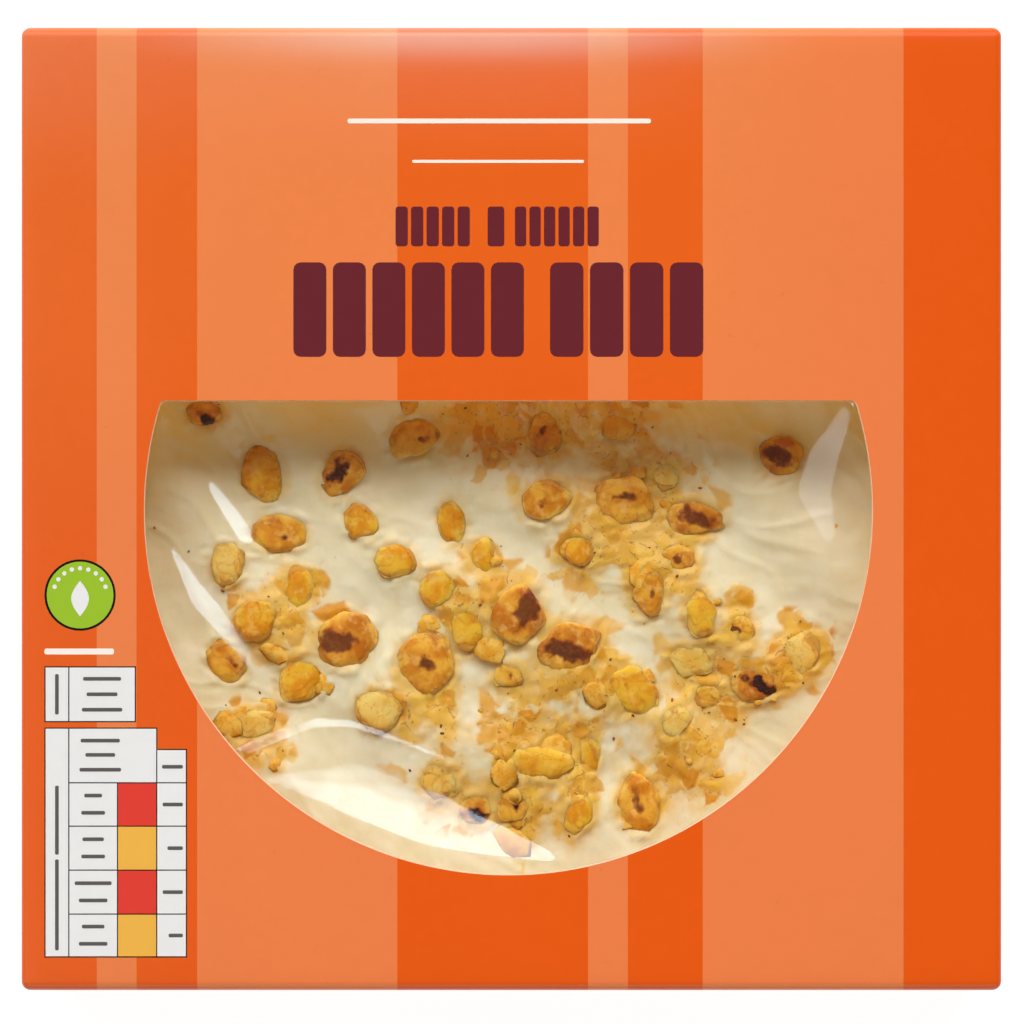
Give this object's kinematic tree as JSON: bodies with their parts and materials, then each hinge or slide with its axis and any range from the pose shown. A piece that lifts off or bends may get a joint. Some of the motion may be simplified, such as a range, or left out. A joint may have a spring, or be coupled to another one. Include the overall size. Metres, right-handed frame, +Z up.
{
  "type": "boxed carrot cake",
  "caption": "Shut square carton with a D-shaped clear window over a round sponge cake that has a spread cream topping and pieces of toasted walnut.",
  "frame": {"origin": "centre of the carton's underside, on the surface that it lies on", "axes": "+Z up, out of the panel with the window; +X along the carton's longer side and the window's straight edge; +Y towards the side that the straight edge is on"},
  "size_m": [0.165, 0.1622, 0.052],
  "materials": {
    "printed_board": "gloss",
    "clear_film": "gloss",
    "sponge": "matte",
    "cream": "satin",
    "walnut_gold": "satin",
    "walnut_pale": "satin",
    "walnut_toasted": "satin",
    "walnut_dark": "satin"
  },
  "bodies": {
    "root": {"carton": "printed_board", "window_film": "clear_film", "sponge": "sponge", "cream_topping": "cream", "walnut_gold_01": "walnut_gold", "walnut_dark_02": "walnut_dark", "walnut_toasted_03": "walnut_toasted", "walnut_pale_04": "walnut_pale", "walnut_gold_05": "walnut_gold", "walnut_gold_06": "walnut_gold", "walnut_gold_07": "walnut_gold", "walnut_gold_08": "walnut_gold", "walnut_gold_09": "walnut_gold", "walnut_gold_10": "walnut_gold", "walnut_toasted_11": "walnut_toasted", "walnut_gold_12": "walnut_gold", "walnut_toasted_13": "walnut_toasted", "walnut_dark_14": "walnut_dark", "walnut_toasted_15": "walnut_toasted", "walnut_toasted_16": "walnut_toasted", "walnut_dark_17": "walnut_dark", "walnut_pale_18": "walnut_pale", "walnut_gold_19": "walnut_gold", "walnut_toasted_20": "walnut_toasted", "walnut_toasted_21": "walnut_toasted", "walnut_dark_22": "walnut_dark", "walnut_toasted_23": "walnut_toasted", "walnut_gold_24": "walnut_gold", "walnut_toasted_25": "walnut_toasted", "walnut_dark_26": "walnut_dark", "walnut_gold_27": "walnut_gold", "walnut_toasted_28": "walnut_toasted", "walnut_pale_29": "walnut_pale", "walnut_pale_30": "walnut_pale", "walnut_pale_31": "walnut_pale", "walnut_dark_32": "walnut_dark", "walnut_dark_33": "walnut_dark", "walnut_gold_34": "walnut_gold", "walnut_toasted_35": "walnut_toasted", "walnut_dark_36": "walnut_dark", "walnut_gold_37": "walnut_gold", "walnut_pale_38": "walnut_pale", "walnut_dark_39": "walnut_dark", "walnut_toasted_40": "walnut_toasted", "walnut_pale_41": "walnut_pale", "walnut_pale_42": "walnut_pale", "walnut_toasted_43": "walnut_toasted", "walnut_gold_44": "walnut_gold", "walnut_gold_45": "walnut_gold", "walnut_toasted_46": "walnut_toasted", "walnut_gold_47": "walnut_gold", "walnut_gold_48": "walnut_gold", "walnut_toasted_49": "walnut_toasted", "walnut_pale_50": "walnut_pale", "walnut_gold_51": "walnut_gold", "walnut_toasted_52": "walnut_toasted", "walnut_pale_53": "walnut_pale", "walnut_gold_54": "walnut_gold"}
  },
  "joints": []
}
